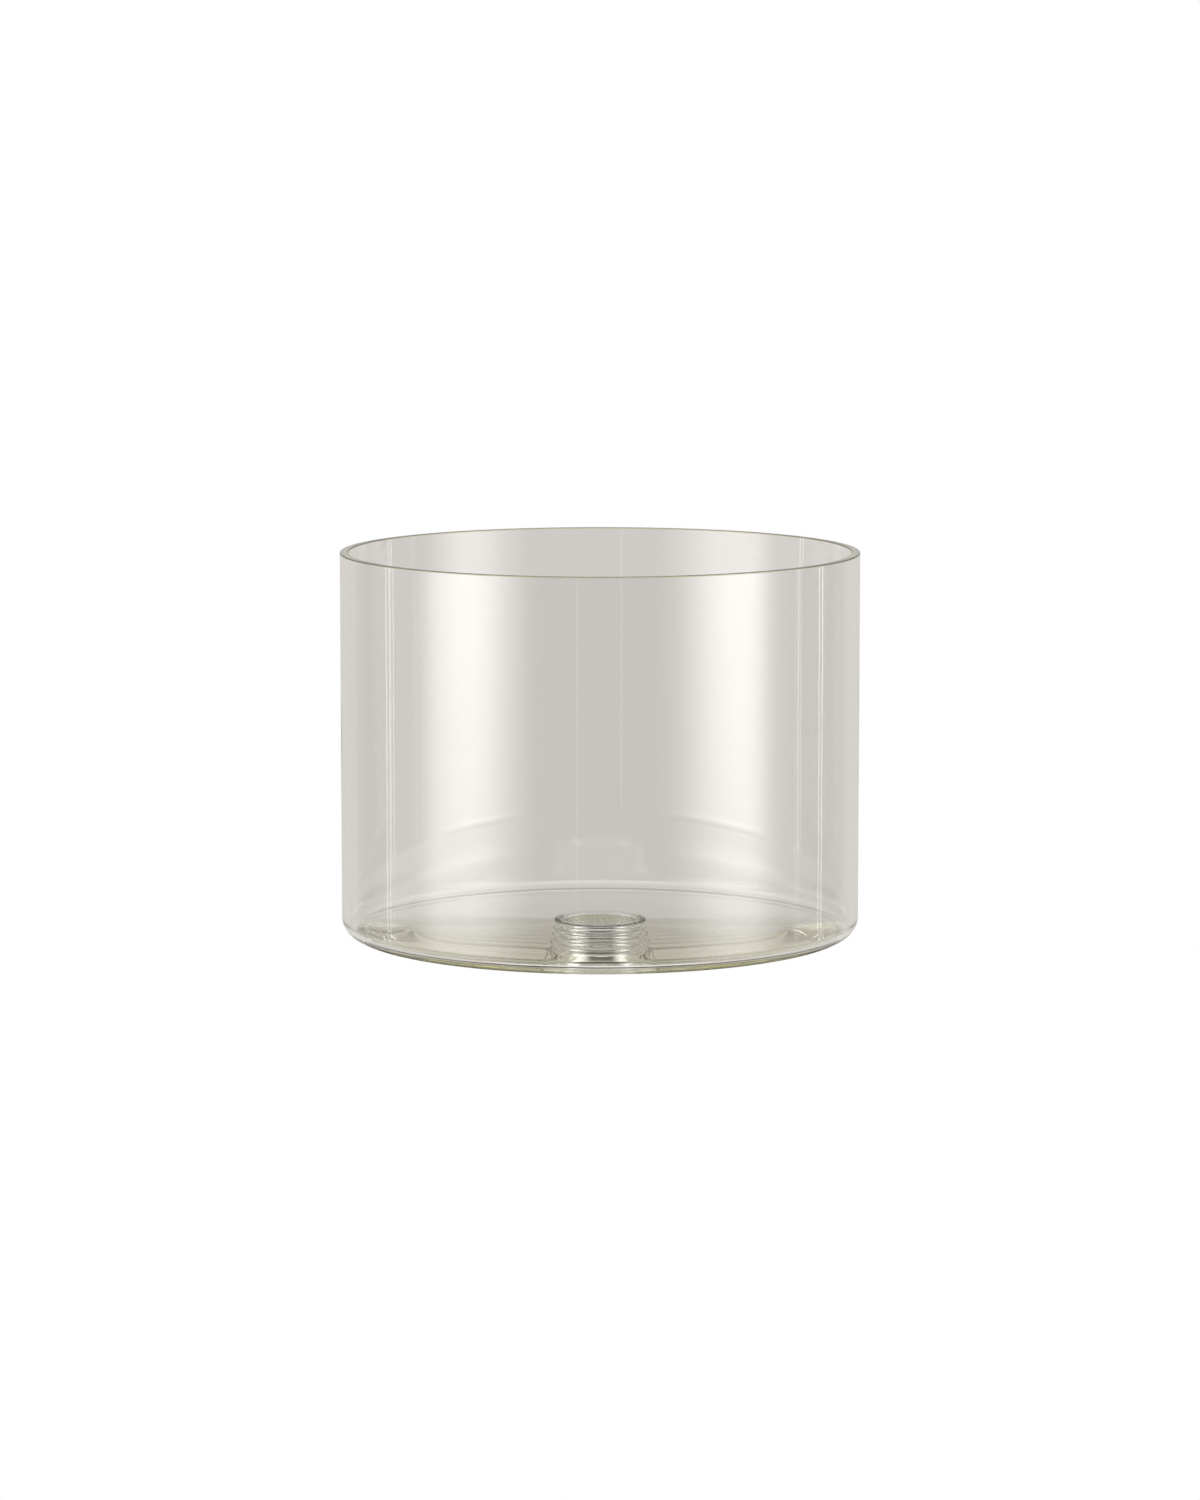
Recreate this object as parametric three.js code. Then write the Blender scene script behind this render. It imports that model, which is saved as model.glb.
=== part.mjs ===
// Clear glass cylinder with an open top and a round hole in the middle of its thick floor.
// Two separate solids: the blown vessel (rim, wall, heel and floor) and the flanged glass collar
// that lines the hole. Millimetres, +Z up, origin on the axis in the plane that the base stands on.

import * as THREE from 'three';
import { mergeVertices } from 'three/addons/utils/BufferGeometryUtils.js';

// Overall size
const OUTER_RADIUS = 100;
const HEIGHT = 151.5;
const WALL = 3.1;
const RIM_EDGE_ROUND = 0.45;

// Heel: the rounded corner between the wall and the underside
const HEEL_RADIUS = 7;
const HEEL_CENTRE_Z = 10;
const HEEL_START_DEG = 12.8;
const INNER_CORNER_RADIUS = 3;
const INNER_CORNER_Z = 6.2;

// Underside: flat in the middle, rising gently to the heel
const STANDING_RADIUS = 60;
const UNDERSIDE_CURVE_POWER = 2.49;

// Floor: thinnest at the inner corner, level in the middle, thickest round the hole
const FLOOR_LEVEL_Z = 7.45;
const FLOOR_LEVEL_OUTER_RADIUS = 52;
const FLOOR_LEVEL_INNER_RADIUS = 22;
const FLOOR_PEAK_Z = 7.9;

// Hole: narrows a little towards the underside
const HOLE_TOP_RADIUS = 15.6;
const HOLE_BOTTOM_RADIUS = 14.4;
const HOLE_EDGE_CHAMFER = 0.25;

// Collar that lines the hole
const FIT_GAP = 0.3;
const COLLAR_BORE_RADIUS = 14.1;
const FLANGE_RADIUS = 17.7;
const FLANGE_TOP_Z = 8.7;
const COLLAR_BOTTOM_Z = 3.8;
const COLLAR_EDGE_ROUND = 0.4;
const STEM_EDGE_CHAMFER = 0.2;

// Facets round the axis, and steps along each curve
const ROUND_FACETS = 96;
const HEEL_STEPS = 6;
const CORNER_STEPS = 5;
const RIM_EDGE_STEPS = 3;
const CURVE_STEPS = 5;
const EDGE_STEPS = 2;

const rad = (degrees) => (degrees * Math.PI) / 180;

// Points of an arc about (cr, cz), from one angle to another, both ends included.
function arc(cr, cz, radius, fromDeg, toDeg, steps) {
  const points = [];
  for (let i = 0; i <= steps; i += 1) {
    const a = rad(fromDeg + ((toDeg - fromDeg) * i) / steps);
    points.push([cr + radius * Math.cos(a), cz + radius * Math.sin(a)]);
  }
  return points;
}

// Turns a closed outline of [radius, height] points about the Z axis.
function revolve(outline) {
  const ring = outline.map(([r, z]) => new THREE.Vector2(r, z));
  ring.push(ring[0].clone());
  const turned = new THREE.LatheGeometry(ring, ROUND_FACETS);
  turned.rotateX(Math.PI / 2);
  turned.deleteAttribute('normal');
  turned.deleteAttribute('uv');
  const solid = mergeVertices(turned, 1e-4);
  solid.computeVertexNormals();
  return solid;
}

// Outline of the vessel, from the lower edge of the hole outwards, up the outside,
// over the rim, down the inside and back across the floor.
function vesselOutline() {
  const heelCentreR = OUTER_RADIUS - HEEL_RADIUS;
  const heelStart = arc(heelCentreR, HEEL_CENTRE_Z, HEEL_RADIUS, HEEL_START_DEG - 90, 0, HEEL_STEPS);
  const [heelR, heelZ] = heelStart[0];

  const underside = [];
  for (let i = 0; i < CURVE_STEPS; i += 1) {
    const t = i / CURVE_STEPS;
    underside.push([
      STANDING_RADIUS + (heelR - STANDING_RADIUS) * t,
      heelZ * t ** UNDERSIDE_CURVE_POWER,
    ]);
  }

  const innerRadius = OUTER_RADIUS - WALL;
  const e = RIM_EDGE_ROUND;
  const rim = [
    ...arc(OUTER_RADIUS - e, HEIGHT - e, e, 0, 90, RIM_EDGE_STEPS),
    ...arc(innerRadius + e, HEIGHT - e, e, 90, 180, RIM_EDGE_STEPS),
  ];

  const cornerR = innerRadius - INNER_CORNER_RADIUS;
  const cornerZ = INNER_CORNER_Z + INNER_CORNER_RADIUS;
  const corner = arc(cornerR, cornerZ, INNER_CORNER_RADIUS, 0, -90, CORNER_STEPS);

  const floor = [];
  for (let i = 1; i <= CURVE_STEPS; i += 1) {
    const t = i / CURVE_STEPS;
    const ease = t * t * (3 - 2 * t);
    floor.push([
      cornerR + (FLOOR_LEVEL_OUTER_RADIUS - cornerR) * t,
      INNER_CORNER_Z + (FLOOR_LEVEL_Z - INNER_CORNER_Z) * ease,
    ]);
  }

  return [
    [HOLE_BOTTOM_RADIUS, HOLE_EDGE_CHAMFER],
    [HOLE_BOTTOM_RADIUS + HOLE_EDGE_CHAMFER, 0],
    ...underside,
    ...heelStart,
    ...rim,
    ...corner,
    ...floor,
    [FLOOR_LEVEL_INNER_RADIUS, FLOOR_LEVEL_Z],
    [HOLE_TOP_RADIUS + HOLE_EDGE_CHAMFER, FLOOR_PEAK_Z],
    [HOLE_TOP_RADIUS, FLOOR_PEAK_Z - HOLE_EDGE_CHAMFER],
  ];
}

// Radius of the tapering hole at a height.
function holeRadiusAt(z) {
  const low = HOLE_EDGE_CHAMFER;
  const high = FLOOR_PEAK_Z - HOLE_EDGE_CHAMFER;
  return HOLE_BOTTOM_RADIUS + ((HOLE_TOP_RADIUS - HOLE_BOTTOM_RADIUS) * (z - low)) / (high - low);
}

// Outline of the collar: a short tapered stem in the hole with a thin flange resting above the floor.
function collarOutline() {
  const flangeUnderZ = FLOOR_PEAK_Z + FIT_GAP;
  const stemTop = holeRadiusAt(FLOOR_PEAK_Z) - FIT_GAP;
  const stemBottom = holeRadiusAt(COLLAR_BOTTOM_Z) - FIT_GAP;
  const c = STEM_EDGE_CHAMFER;
  const e = COLLAR_EDGE_ROUND;
  return [
    [COLLAR_BORE_RADIUS, COLLAR_BOTTOM_Z + c],
    [COLLAR_BORE_RADIUS + c, COLLAR_BOTTOM_Z],
    [stemBottom, COLLAR_BOTTOM_Z],
    [stemTop, flangeUnderZ],
    [FLANGE_RADIUS, flangeUnderZ],
    ...arc(FLANGE_RADIUS - e, FLANGE_TOP_Z - e, e, 0, 90, EDGE_STEPS),
    ...arc(COLLAR_BORE_RADIUS + e, FLANGE_TOP_Z - e, e, 90, 180, EDGE_STEPS),
  ];
}

const clearGlass = new THREE.MeshStandardMaterial({
  color: 0xe4e2dc,
  roughness: 0.03,
  metalness: 0,
  transparent: true,
  opacity: 0.35,
});

const groundGlass = new THREE.MeshStandardMaterial({
  color: 0xb9bca4,
  roughness: 0.45,
  metalness: 0,
  transparent: true,
  opacity: 0.6,
});

const vessel = new THREE.Mesh(revolve(vesselOutline()), clearGlass);
vessel.name = 'glass_vessel';

const collar = new THREE.Mesh(revolve(collarOutline()), groundGlass);
collar.name = 'neck_collar';

const vase = new THREE.Group();
vase.name = 'glass_cylinder_vase';
vase.add(vessel);
vase.add(collar);

export default vase;
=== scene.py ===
"""Looks of the clear glass cylinder: blown vessel, flanged collar in its floor, studio floor and light."""

import math

import bmesh
import bpy
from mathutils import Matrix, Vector, noise


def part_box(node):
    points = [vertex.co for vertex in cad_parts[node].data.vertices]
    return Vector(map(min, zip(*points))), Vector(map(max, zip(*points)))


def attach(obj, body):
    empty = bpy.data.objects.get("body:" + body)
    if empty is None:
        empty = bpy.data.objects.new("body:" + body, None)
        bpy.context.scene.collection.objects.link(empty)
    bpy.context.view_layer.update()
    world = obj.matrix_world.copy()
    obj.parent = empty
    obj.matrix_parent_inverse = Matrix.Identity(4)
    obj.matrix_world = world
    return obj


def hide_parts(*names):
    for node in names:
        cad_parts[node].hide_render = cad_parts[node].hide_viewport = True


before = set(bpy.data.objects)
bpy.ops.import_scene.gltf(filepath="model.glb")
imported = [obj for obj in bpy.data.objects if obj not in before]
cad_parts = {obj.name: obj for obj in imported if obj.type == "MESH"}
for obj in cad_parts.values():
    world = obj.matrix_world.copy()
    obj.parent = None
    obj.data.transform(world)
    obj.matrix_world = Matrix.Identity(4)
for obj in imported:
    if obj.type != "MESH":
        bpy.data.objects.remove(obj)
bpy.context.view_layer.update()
scene = bpy.context.scene

MM = 0.001

# ---------------------------------------------------------------- sizes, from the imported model
vessel_low, vessel_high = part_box("glass_vessel")
collar_low, collar_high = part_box("neck_collar")
OUTER_R = (vessel_high.x - vessel_low.x) / 2
HEIGHT = vessel_high.z
FLANGE_R = (collar_high.x - collar_low.x) / 2
FLANGE_TOP = collar_high.z

# ---------------------------------------------------------------- sizes of the finer shapes
WALL = 3.1 * MM
INNER_R = OUTER_R - WALL
RIM_ROUND = 0.3 * MM
HEEL_ROUND = 7.0 * MM
HEEL_HEIGHT = 10.0 * MM
HEEL_START = 12.8  # degrees past straight down, where the underside runs into the heel
UNDERSIDE_POWER = 6.0
CORNER_ROUND = 3.0 * MM
CORNER_HEIGHT = 6.2 * MM
FLOOR_TOP = 7.9 * MM
HOLE_TOP_R = 15.6 * MM
HOLE_LOW_R = 14.4 * MM
HOLE_TOP_EDGE = 0.2 * MM
HOLE_LOW_EDGE = 0.25 * MM

BORE_R = 14.1 * MM
BORE_ROUND = 0.7 * MM
SEAT = FLOOR_TOP + 0.3 * MM
STEM_LOW = 3.8 * MM
STEM_EDGE = 0.2 * MM
STEM_GAP = 0.4 * MM
FLANGE_ROUND = 0.4 * MM

SEGMENTS = 360
FLOOR_STEPS = 48
WALL_STEPS = 24
HEEL_STEPS = 20
CORNER_STEPS = 12
RIM_STEPS = 8
COLLAR_STEPS = 6
EDGE_ROW = 0.1 * MM

FLOOR_ZONE = 12 * MM  # the floor, its corner and the hole all lie below this height
WALL_WAVER = 0.35 * MM
FLOOR_WAVER = 0.3 * MM
LONG_WAVES = 18  # per metre, as are the other two
SHORT_WAVES = 60
RIPPLES = 170
LONG_SHARE = 0.10
SHORT_SHARE = 0.03
SHORT_SHIFT = Vector((7, 3, 1))
RIPPLE_SHIFT = Vector((3, 9, 5))
RIPPLE = 0.012 * MM
RIPPLE_START = 62 * MM
RIPPLE_GROWTH = 30 * MM
RIM_CALM = 8 * MM
CORNER_CALM = 1 * MM


# ---------------------------------------------------------------- shapes
def arc(centre_r, centre_z, r, start, end, steps):
    """Points [radius, height] of an arc about a centre, angles in degrees."""
    points = []
    for i in range(steps + 1):
        angle = math.radians(start + (end - start) * i / steps)
        points.append((centre_r + r * math.cos(angle), centre_z + r * math.sin(angle)))
    return points


def straight(start, end, steps):
    """Points between two outline points, with one close to each end so that its shading stays straight."""
    length = math.dist(start, end)
    shares = [EDGE_ROW / length] + [i / steps for i in range(1, steps)] + [1 - EDGE_ROW / length]
    return [(start[0] + (end[0] - start[0]) * t, start[1] + (end[1] - start[1]) * t) for t in shares]


def revolve(name, outline, waver=None):
    """A closed body turned about Z from a closed outline. waver moves each point a little."""
    bm = bmesh.new()
    rings = []
    for k in range(SEGMENTS):
        angle = 2 * math.pi * k / SEGMENTS
        ring = []
        for r, z in outline:
            point = Vector((r * math.cos(angle), r * math.sin(angle), z))
            if waver:
                point += waver(point, r, z)
            ring.append(bm.verts.new(point))
        rings.append(ring)
    count = len(outline)
    for k in range(SEGMENTS):
        one, two = rings[k], rings[(k + 1) % SEGMENTS]
        for j in range(count):
            bm.faces.new((one[j], two[j], two[(j + 1) % count], one[(j + 1) % count]))
    bmesh.ops.recalc_face_normals(bm, faces=bm.faces)
    for face in bm.faces:
        face.smooth = True
    mesh = bpy.data.meshes.new(name)
    bm.to_mesh(mesh)
    bm.free()
    obj = bpy.data.objects.new(name, mesh)
    scene.collection.objects.link(obj)
    return obj


def vessel_outline():
    """Underside from the hole outwards, heel, wall, rim, inside wall, corner, floor and the tapered hole."""
    heel = arc(OUTER_R - HEEL_ROUND, HEEL_HEIGHT, HEEL_ROUND, HEEL_START - 90, 0, HEEL_STEPS)
    heel_r, heel_z = heel[0]
    low_r = HOLE_LOW_R + HOLE_LOW_EDGE
    points = []
    for i in range(FLOOR_STEPS):
        t = i / FLOOR_STEPS
        points.append((low_r + (heel_r - low_r) * t, heel_z * t**UNDERSIDE_POWER))
    points += heel
    rim_low = HEIGHT - RIM_ROUND
    points += straight((OUTER_R, HEEL_HEIGHT), (OUTER_R, rim_low), WALL_STEPS)
    points += arc(OUTER_R - RIM_ROUND, rim_low, RIM_ROUND, 0, 90, RIM_STEPS)
    points += arc(INNER_R + RIM_ROUND, rim_low, RIM_ROUND, 90, 180, RIM_STEPS)
    corner_top = CORNER_HEIGHT + CORNER_ROUND
    points += straight((INNER_R, rim_low), (INNER_R, corner_top), WALL_STEPS)
    floor_r = INNER_R - CORNER_ROUND
    points += arc(floor_r, corner_top, CORNER_ROUND, 0, -90, CORNER_STEPS)
    edge_r = HOLE_TOP_R + HOLE_TOP_EDGE
    for i in range(1, FLOOR_STEPS + 1):
        t = i / FLOOR_STEPS
        points.append((floor_r + (edge_r - floor_r) * t, CORNER_HEIGHT + (FLOOR_TOP - CORNER_HEIGHT) * t))
    points.append((HOLE_TOP_R, FLOOR_TOP - HOLE_TOP_EDGE))
    points.append((HOLE_LOW_R, HOLE_LOW_EDGE))
    return points


def vessel_waver(point, r, z):
    """Small unevenness of blown glass: long waves on the wall, finer ripples towards the floor's edge."""
    lift = noise.noise(point * LONG_WAVES) * LONG_SHARE
    lift += noise.noise(point * SHORT_WAVES + SHORT_SHIFT) * SHORT_SHARE
    if z > FLOOR_ZONE:
        outward = Vector((point.x, point.y, 0)).normalized()
        hold = min(1.0, (HEIGHT - z) / RIM_CALM)
        return outward * (-abs(lift) * WALL_WAVER * hold)
    if z > CORNER_HEIGHT - EDGE_ROW and r < INNER_R - CORNER_CALM:
        outer = max(0.0, (r - RIPPLE_START) / RIPPLE_GROWTH)
        ripple = noise.noise(point * RIPPLES + RIPPLE_SHIFT) * RIPPLE * outer
        return Vector((0, 0, lift * FLOOR_WAVER + ripple))
    return Vector((0, 0, 0))


def collar_outline():
    """Stem in the hole, flange on the floor, and the bore with a rounded mouth."""
    points = [(BORE_R, STEM_LOW + STEM_EDGE), (BORE_R + STEM_EDGE, STEM_LOW)]
    points += [(BORE_R + 2 * STEM_EDGE, STEM_LOW), (HOLE_TOP_R - STEM_GAP, SEAT), (FLANGE_R, SEAT)]
    points += arc(FLANGE_R - FLANGE_ROUND, FLANGE_TOP - FLANGE_ROUND, FLANGE_ROUND, 0, 90, COLLAR_STEPS)
    points += arc(BORE_R + BORE_ROUND, FLANGE_TOP - BORE_ROUND, BORE_ROUND, 90, 180, COLLAR_STEPS)
    return points


# ---------------------------------------------------------------- node trees
class Tree:
    """Short ways to add shader nodes to one node tree and to join them."""

    def __init__(self, node_tree):
        self.nodes = node_tree.nodes
        self.links = node_tree.links
        self.nodes.clear()

    def add(self, kind):
        return self.nodes.new("ShaderNode" + kind)

    def feed(self, socket, value):
        """Link another node's output into a socket, or set a number or a colour on it."""
        if isinstance(value, bpy.types.NodeSocket):
            self.links.new(value, socket)
        elif isinstance(value, tuple):
            socket.default_value = (*value, 1)
        else:
            socket.default_value = value

    def math(self, kind, a, b=0.0):
        node = self.add("Math")
        node.operation = kind
        self.feed(node.inputs[0], a)
        self.feed(node.inputs[1], b)
        return node.outputs[0]

    def product(self, first, *others):
        for other in others:
            first = self.math("MULTIPLY", first, other)
        return first

    def total(self, first, *others):
        for other in others:
            first = self.math("ADD", first, other)
        return first

    def distance(self, value, middle):
        return self.math("ABSOLUTE", self.math("SUBTRACT", value, middle))

    def ramp(self, value, low, high, start, end, kind="LINEAR"):
        """start up to low, end from high on, and a slope between them."""
        node = self.add("MapRange")
        node.interpolation_type = kind
        for key, number in zip(("From Min", "From Max", "To Min", "To Max"), (low, high, start, end)):
            node.inputs[key].default_value = number
        self.feed(node.inputs["Value"], value)
        return node.outputs["Result"]

    def fade(self, value, low, high, start, end):
        return self.ramp(value, low, high, start, end, "SMOOTHSTEP")

    def blend(self, factor, a, b):
        node = self.add("Mix")
        node.data_type = "RGBA"
        for key, value in zip(("Factor", "A", "B"), (factor, a, b)):
            self.feed(node.inputs[key], value)
        return node.outputs["Result"]

    def clouds(self, place, scale, detail):
        node = self.add("TexNoise")
        node.inputs["Scale"].default_value = scale
        node.inputs["Detail"].default_value = detail
        self.feed(node.inputs["Vector"], place)
        return node.outputs["Fac"]

    def choose(self, factor, first, second):
        """The first shader where factor is 0, the second where it is 1."""
        node = self.add("MixShader")
        for socket, value in zip(node.inputs, (factor, first, second)):
            self.links.new(value, socket)
        return node.outputs["Shader"]


# ---------------------------------------------------------------- glass
GLASS_IOR = 1.5
WHITE = (1.0, 1.0, 1.0)
OLIVE = (0.86, 0.86, 0.66)
RIM_TINT = (0.67, 0.635, 0.29)
BORE_TINT = (0.66, 0.64, 0.49)
# near-black colour painted as shade on the flange's edge and on the floor under it
PAINTED_SHADE = (0.05, 0.04, 0.03)
VESSEL_DENSITY = 5.0
COLLAR_DENSITY = 8.0
WAVE_DEPTH = 0.04 * MM
GRAIN_DEPTH = 0.4 * MM
RIM_TINT_LOW = HEIGHT - 0.5 * MM
RIM_TINT_SOFT = 0.3 * MM
BORE_SKIN_R = BORE_R + 0.05 * MM
BORE_SKIN_SOFT = 0.2 * MM
GROUND_TOP = FLANGE_TOP - 1.2 * MM
GROUND_SOFT = 0.3 * MM
# painted shade: a dark line on the flange's rounded outer edge
LIP_R = FLANGE_R - 0.14 * MM
LIP_SOFT = 0.06 * MM
LIP_SHADE = 0.95
# painted shade: a thin dark ring on the floor under the flange's edge, whose mirror images in the thick
# floor give dark ring lines
BOND_R = FLANGE_R - 0.1 * MM
BOND_LOW = FLOOR_TOP - 1.5 * MM
BOND_HALF = 0.2 * MM
BOND_SOFT = 0.1 * MM
BOND_SHADE = 0.6


def clear_surface(tree, place, z, radius):
    """The vessel: faint waves, an olive face on the rim, and a thin ring of painted shade on the floor under
    the flange's edge.
    """
    rim = tree.ramp(z, RIM_TINT_LOW, RIM_TINT_LOW + RIM_TINT_SOFT, 0, 1)
    # painted shade: the floor turns dark and opaque in a thin ring under the flange's edge
    bond_shade_mask = tree.product(
        tree.ramp(tree.distance(radius, BOND_R), BOND_HALF, BOND_HALF + BOND_SOFT, BOND_SHADE, 0),
        tree.ramp(z, BOND_LOW, BOND_LOW + BOND_SOFT, 0, 1),
        tree.ramp(z, FLOOR_ZONE, FLOOR_ZONE + 1 * MM, 1, 0),
    )
    colour = tree.blend(bond_shade_mask, tree.blend(rim, WHITE, RIM_TINT), PAINTED_SHADE)
    patches = tree.clouds(place, scale=26, detail=6)
    roughness = tree.ramp(patches, low=0.45, high=0.8, start=0.0, end=0.02)
    return colour, bond_shade_mask, roughness, tree.clouds(place, scale=14, detail=3), WAVE_DEPTH


def ground_surface(tree, place, z, radius):
    """The collar: clear, with a ground and tinted bore and a dark line of painted shade on the flange's
    edge.
    """
    bore = tree.product(
        tree.ramp(radius, BORE_SKIN_R, BORE_SKIN_R + BORE_SKIN_SOFT, 1, 0),
        tree.ramp(z, GROUND_TOP, GROUND_TOP + GROUND_SOFT, 1, 0),
    )
    grain = tree.clouds(place, scale=900, detail=4)
    # painted shade: the flange's outer edge turns dark and opaque
    lip_shade_mask = tree.ramp(radius, LIP_R, LIP_R + LIP_SOFT, 0, LIP_SHADE)
    colour = tree.blend(lip_shade_mask, tree.blend(bore, WHITE, BORE_TINT), PAINTED_SHADE)
    roughness = tree.product(tree.ramp(grain, low=0.45, high=0.8, start=0.25, end=0.7), bore)
    return colour, lip_shade_mask, roughness, tree.product(grain, bore), GRAIN_DEPTH


def glass(name, surface, density):
    """Glass that tints light by the way it goes inside. surface gives how its skin differs from clear."""
    mat = bpy.data.materials.new(name)
    mat.use_nodes = True
    tree = Tree(mat.node_tree)
    place = tree.add("TexCoord").outputs["Object"]
    axes = tree.add("SeparateXYZ")
    tree.feed(axes.inputs["Vector"], place)
    x, y, z = axes.outputs
    radius = tree.math("SQRT", tree.total(tree.product(x, x), tree.product(y, y)))
    colour, opaque, roughness, relief, relief_depth = surface(tree, place, z, radius)

    bump = tree.add("Bump")
    bump.inputs["Strength"].default_value = 1.0
    bump.inputs["Distance"].default_value = relief_depth
    tree.feed(bump.inputs["Height"], relief)

    body = tree.add("BsdfPrincipled")
    body.inputs["IOR"].default_value = GLASS_IOR
    tree.feed(body.inputs["Base Color"], colour)
    tree.feed(body.inputs["Transmission Weight"], tree.math("SUBTRACT", 1, opaque))
    tree.feed(body.inputs["Roughness"], roughness)
    tree.feed(body.inputs["Normal"], bump.outputs["Normal"])

    # shadow rays pass straight through, so the glass throws no black shadow
    shadow = tree.add("LightPath").outputs["Is Shadow Ray"]
    clear = tree.add("BsdfTransparent").outputs["BSDF"]
    out = tree.add("OutputMaterial")
    tree.feed(out.inputs["Surface"], tree.choose(shadow, body.outputs["BSDF"], clear))

    inside = tree.add("VolumeAbsorption")
    inside.inputs["Color"].default_value = (*OLIVE, 1)
    inside.inputs["Density"].default_value = density
    tree.feed(out.inputs["Volume"], inside.outputs["Volume"])
    return mat


vessel = revolve("vessel_glass", vessel_outline(), vessel_waver)
vessel.data.materials.append(glass("clear_glass", clear_surface, VESSEL_DENSITY))
collar = revolve("collar_glass", collar_outline())
collar.data.materials.append(glass("ground_glass", ground_surface, COLLAR_DENSITY))

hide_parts("glass_vessel")
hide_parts("neck_collar")
for piece in (vessel, collar):
    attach(piece, "root")

# ---------------------------------------------------------------- studio floor
FLOOR_HALF = 6.0
FLOOR_DROP = 0.2 * MM
FLOOR_GLOW = (0.68, 0.655, 0.62)

floor_mesh = bpy.data.meshes.new("studio_floor")
corners = [(-FLOOR_HALF, -FLOOR_HALF, 0), (FLOOR_HALF, -FLOOR_HALF, 0)]
corners += [(FLOOR_HALF, FLOOR_HALF, 0), (-FLOOR_HALF, FLOOR_HALF, 0)]
floor_mesh.from_pydata(corners, [], [(0, 1, 2, 3)])
floor = bpy.data.objects.new("studio_floor", floor_mesh)
scene.collection.objects.link(floor)
floor.location.z = -FLOOR_DROP
floor.visible_glossy = False
floor.visible_transmission = False

floor_mat = bpy.data.materials.new("pale_floor")
floor_mat.use_nodes = True
floor_mesh.materials.append(floor_mat)
tree = Tree(floor_mat.node_tree)
seen = tree.add("Emission")
seen.inputs["Color"].default_value = (*WHITE, 1)
lit = tree.add("Emission")
lit.inputs["Color"].default_value = (*FLOOR_GLOW, 1)
direct = tree.add("LightPath").outputs["Is Camera Ray"]
surface = tree.choose(direct, lit.outputs["Emission"], seen.outputs["Emission"])
tree.feed(tree.add("OutputMaterial").inputs["Surface"], surface)

# ---------------------------------------------------------------- surroundings
TABLE = (0.665, 0.64, 0.61)
NEAR_TABLE = (0.03, 0.027, 0.025)
ROOM = (0.56, 0.545, 0.52)
BACKDROP = (0.78, 0.77, 0.75)
SKIRTING = (0.22, 0.21, 0.195)
DARK = (0.025, 0.022, 0.02)
SHELF = (0.39, 0.365, 0.31)
CLOTH = (0.73, 0.705, 0.67)
UNDER_TABLE = (0.04, 0.026, 0.014)
BELOW = (0.95, 0.93, 0.9)
FRONT_BOX = (1.7, 1.67, 1.62)
BOARD_LIGHT = (1.0, 0.99, 0.97)
BOARD_POWER = 2.7

world = bpy.data.worlds.new("studio")
scene.world = world
world.use_nodes = True
sky = Tree(world.node_tree)
path = sky.add("LightPath")
# 1 for light that the glass has mirrored at least once, 0 for what is seen straight through it
mirrored = sky.math("GREATER_THAN", path.outputs["Glossy Depth"], 0.5)
axes = sky.add("SeparateXYZ")
sky.feed(axes.inputs["Vector"], sky.add("TexCoord").outputs["Generated"])
east, north, up = axes.outputs
on_left = sky.math("LESS_THAN", east, 0)
on_right = sky.math("SUBTRACT", 1, on_left)
# degrees from the -Y side, 0 to 180, the same to the left and to the right, and degrees over the horizon
half_turn = sky.math("ARCTAN2", sky.math("ABSOLUTE", east), sky.product(north, -1))
side = sky.product(half_turn, 180 / math.pi)
height = sky.product(sky.math("ARCSINE", up), 180 / math.pi)


def belt(middle, half, soft):
    """1 within half of the middle height, fading out over soft, all in degrees."""
    return sky.fade(sky.distance(height, middle), half, half + soft, 1, 0)


def card(middle, half, soft, strength):
    """A dark card that only takes light away, round one direction."""
    return sky.fade(sky.distance(side, middle), half, half + soft, strength, 0)


def board(rise, full, hold, end, power):
    """A tall soft light from rise to end, at its full power from full to hold."""
    return sky.product(sky.fade(side, rise, full, 0, power), sky.fade(side, hold, end, 1, 0))


def strip(middle, half, power):
    """A thin upright light, brightest in its middle."""
    return sky.fade(sky.distance(side, middle), 0, half, power, 0)


# the room: pale round the back, dark on the near side for mirrored light, and a pale table below
near = sky.product(
    sky.fade(side, low=30, high=75, start=1, end=0),
    belt(middle=0, half=45, soft=20),
    mirrored,
)
far = sky.fade(side, low=95, high=125, start=0, end=1)
air = sky.blend(sky.product(far, belt(middle=5.6, half=0.4, soft=0.5)), ROOM, BACKDROP)
air = sky.blend(near, air, DARK)
table = sky.blend(near, TABLE, NEAR_TABLE)
over_table = sky.fade(height, low=-3.5, high=-1.5, start=0, end=1)
colour = sky.blend(over_table, table, air)

# belts and cards laid over it, which make the light and dark lines in the thick floor and the wall
behind = sky.fade(side, low=152, high=168, start=0, end=1)
in_front = sky.fade(side, low=25, high=60, start=1, end=0)
underfoot = sky.fade(height, low=-66, high=-60, start=1, end=0)
left_card = sky.product(card(middle=122, half=6, soft=14, strength=0.42), on_left)
right_card = sky.product(card(middle=108, half=10, soft=30, strength=0.72), on_right)
cards = sky.total(left_card, right_card)
layers = [
    (sky.product(belt(middle=1.0, half=2.5, soft=1.0), far, mirrored), SKIRTING),
    (sky.product(belt(middle=13.4, half=4.0, soft=1.0), far), SHELF),
    (sky.product(belt(middle=-17.0, half=5.0, soft=2.0), far), CLOTH),
    (underfoot, BELOW),
    (sky.product(belt(middle=-43.0, half=18.0, soft=5.0), behind, mirrored), UNDER_TABLE),
    (sky.product(belt(middle=50.0, half=10.0, soft=3.0), in_front), FRONT_BOX),
    (sky.product(cards, belt(middle=-7.5, half=3.5, soft=2.0), mirrored), DARK),
]
for share, tone in layers:
    colour = sky.blend(share, colour, tone)

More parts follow.
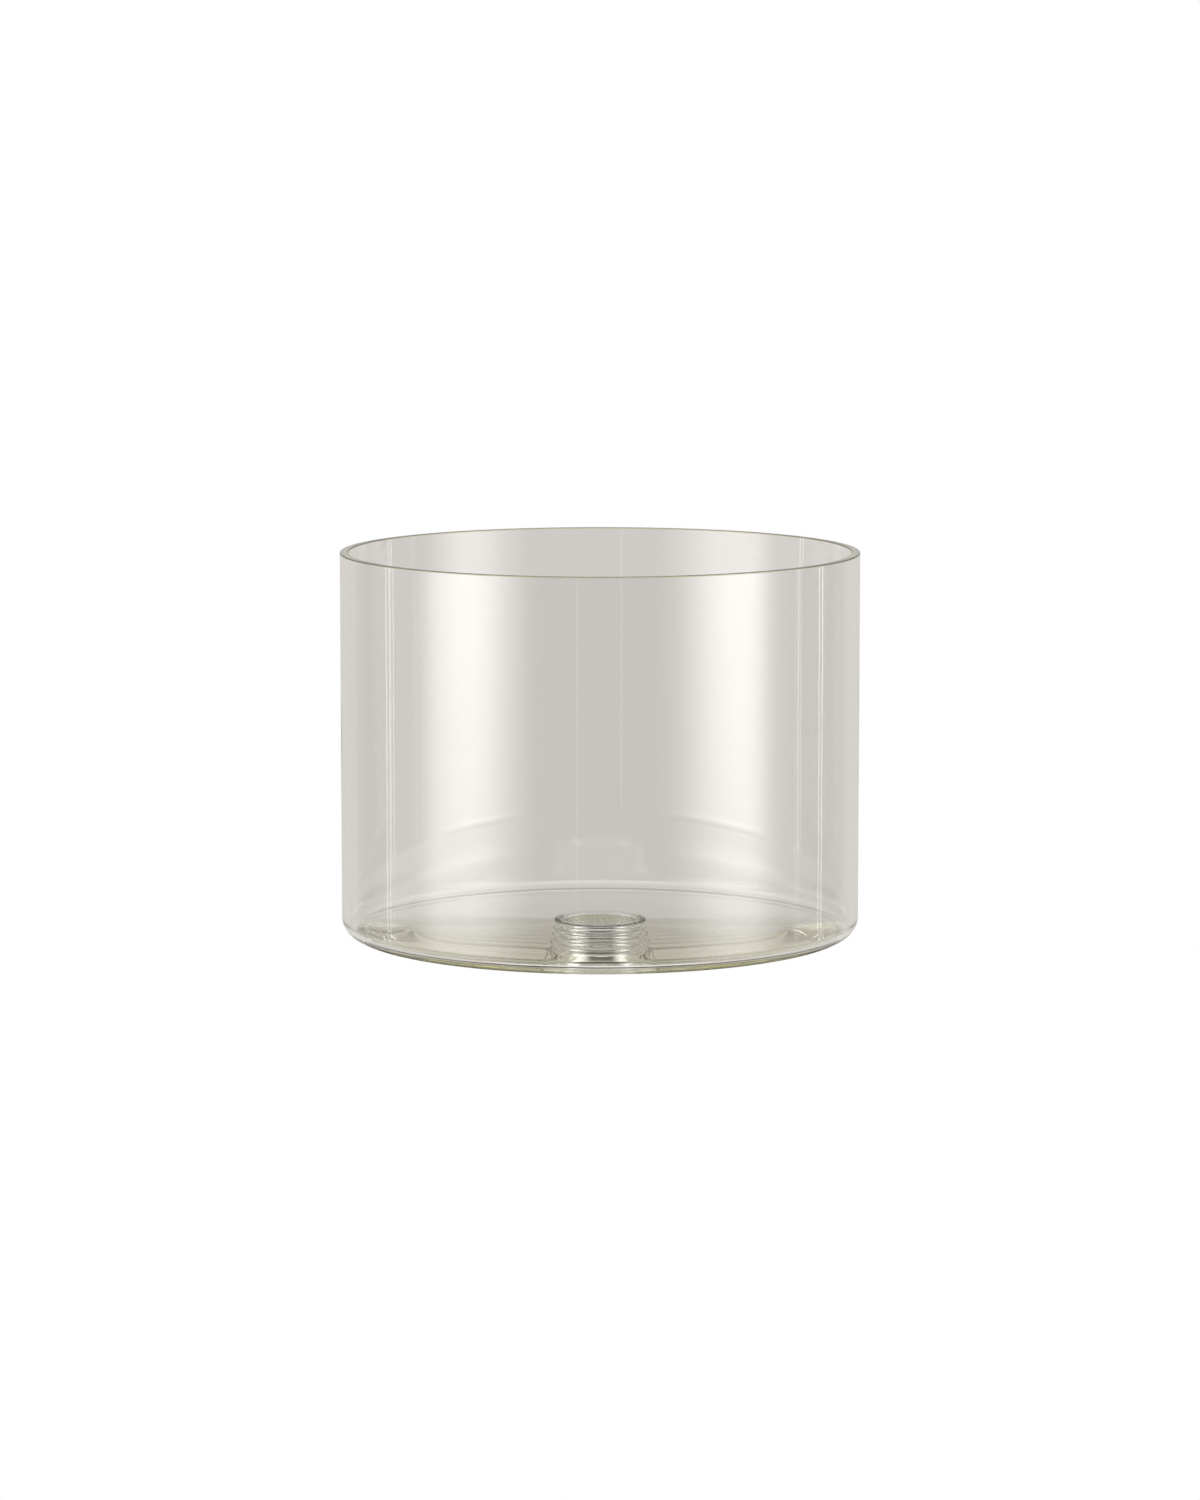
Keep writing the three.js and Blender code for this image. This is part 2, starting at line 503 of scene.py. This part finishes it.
# tall soft boards on both sides, a broad one on the left and a peaked one on the right, with thin strips
left = sky.total(
    board(rise=22, full=58, hold=74, end=92, power=1.0),
    strip(middle=108.5, half=0.7, power=1.6),
    strip(middle=10, half=0.9, power=0.25),
)
right = sky.total(
    board(rise=29, full=63, hold=63, end=92, power=0.96),
    strip(middle=115.5, half=0.8, power=1.5),
    strip(middle=98, half=0.6, power=0.6),
)
boards = sky.product(
    sky.total(sky.product(left, on_left), sky.product(right, on_right)),
    sky.fade(height, low=38, high=62, start=1, end=0),
    sky.fade(height, low=-18, high=-3, start=0, end=1),
    sky.fade(height, low=2, high=8, start=1, end=0.6),
    sky.product(mirrored, BOARD_POWER),
)

room = sky.add("Background")
sky.feed(room.inputs["Color"], colour)
glow = sky.add("Background")
glow.inputs["Color"].default_value = (*BOARD_LIGHT, 1)
sky.feed(glow.inputs["Strength"], boards)
both = sky.add("AddShader")
sky.feed(both.inputs[0], room.outputs["Background"])
sky.feed(both.inputs[1], glow.outputs["Background"])
plain = sky.add("Background")
plain.inputs["Color"].default_value = (*WHITE, 1)
surface = sky.choose(path.outputs["Is Camera Ray"], both.outputs["Shader"], plain.outputs["Background"])
sky.feed(sky.add("OutputWorld").inputs["Surface"], surface)

# ---------------------------------------------------------------- camera
CAMERA_PLACE = (0, -2.040, 0.350)
AIM_HEIGHT = 0.0743
LENS = 127.8
SENSOR = 36
BOUNCES = 28
CLEAR_BOUNCES = 16

camera_data = bpy.data.cameras.new("camera")
camera_data.lens = LENS
camera_data.sensor_width = SENSOR
camera = bpy.data.objects.new("camera", camera_data)
scene.collection.objects.link(camera)
camera.location = CAMERA_PLACE
aim = Vector((0, 0, AIM_HEIGHT)) - camera.location
camera.rotation_euler = aim.to_track_quat("-Z", "Y").to_euler()
scene.camera = camera

scene.view_settings.view_transform = "Standard"
scene.cycles.max_bounces = BOUNCES
scene.cycles.transmission_bounces = BOUNCES
scene.cycles.glossy_bounces = BOUNCES
scene.cycles.transparent_max_bounces = CLEAR_BOUNCES
